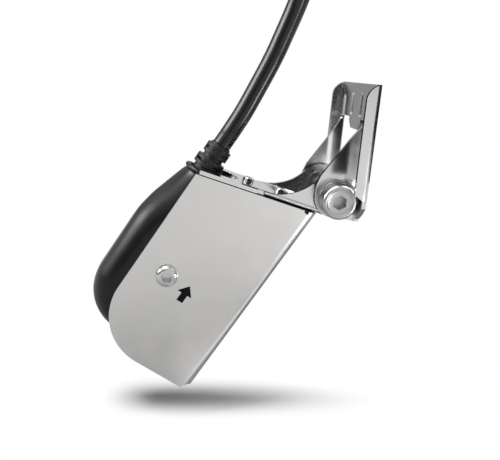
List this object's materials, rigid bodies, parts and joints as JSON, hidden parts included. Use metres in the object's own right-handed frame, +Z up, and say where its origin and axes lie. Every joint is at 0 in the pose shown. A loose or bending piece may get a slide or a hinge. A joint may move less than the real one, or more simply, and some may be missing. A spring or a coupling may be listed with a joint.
{
  "type": "sonar transducer",
  "caption": "Transom sonar transducer: a raked black pod in a folded metal guard, on a kick-up arm pivoted in a slotted steel bracket, with its lead, coil and plug.",
  "frame": {"origin": "the bracket's back face, on the mid-plane, at the middle of the row of fixing slots", "axes": "+X into the transom, +Z up the transom, Y across it; the pod hangs aft, towards -X"},
  "size_m": [0.1234, 0.148, 0.3694],
  "materials": {
    "bracket_steel": "bright rolled stainless",
    "bolt_steel": "turned stainless",
    "arm_steel": "bright rolled stainless",
    "screw_steel": "satin stainless",
    "guard_steel": "fine satin",
    "insert_brass": "turned",
    "black_nylon": "moulded",
    "grey_nylon": "moulded",
    "pod_plastic": "satin moulded",
    "window_plastic": "smooth cast",
    "piezo_ceramic": "fired ceramic",
    "backing_cork": "pressed cork",
    "board_laminate": "lacquered",
    "chip_plastic": "moulded",
    "potting_resin": "cast resin",
    "lead_jacket": "extruded",
    "relief_rubber": "moulded matt",
    "cable_jacket": "smooth glossy",
    "tie_strap": "woven strap",
    "plug_plastic": "fine moulded"
  },
  "bodies": {
    "bracket": {"transom_bracket": "bracket_steel", "pivot_bolt": "bolt_steel", "pivot_nut": "bolt_steel", "bolt_washers": "bolt_steel", "cable": "cable_jacket", "cable_coil": "cable_jacket", "coil_ties": "tie_strap", "cable_tail": "cable_jacket", "plug_boot": "relief_rubber", "plug_shell": "plug_plastic", "plug_ring": "plug_plastic", "plug_insert": "chip_plastic"},
    "transducer": {"friction_washers": "black_nylon", "pivot_sleeve": "grey_nylon", "pivot_arm": "arm_steel", "arm_screws": "screw_steel", "arm_inserts": "insert_brass", "guard_shield": "guard_steel", "guard_screws": "screw_steel", "guard_inserts": "insert_brass", "pod_housing": "pod_plastic", "acoustic_window": "window_plastic", "piezo_elements": "piezo_ceramic", "backing_block": "backing_cork", "signal_board": "board_laminate", "board_chips": "chip_plastic", "potting": "potting_resin", "core_leads": "lead_jacket", "strain_relief": "relief_rubber"}
  },
  "joints": [
    {"name": "kick_up", "type": "hinge", "parent": "bracket", "child": "transducer", "pos_m": [-0.0119, 0, -0.043], "axis": [0, 1, 0], "range_deg": [-31, 45], "deforming": ["cable"]}
  ]
}
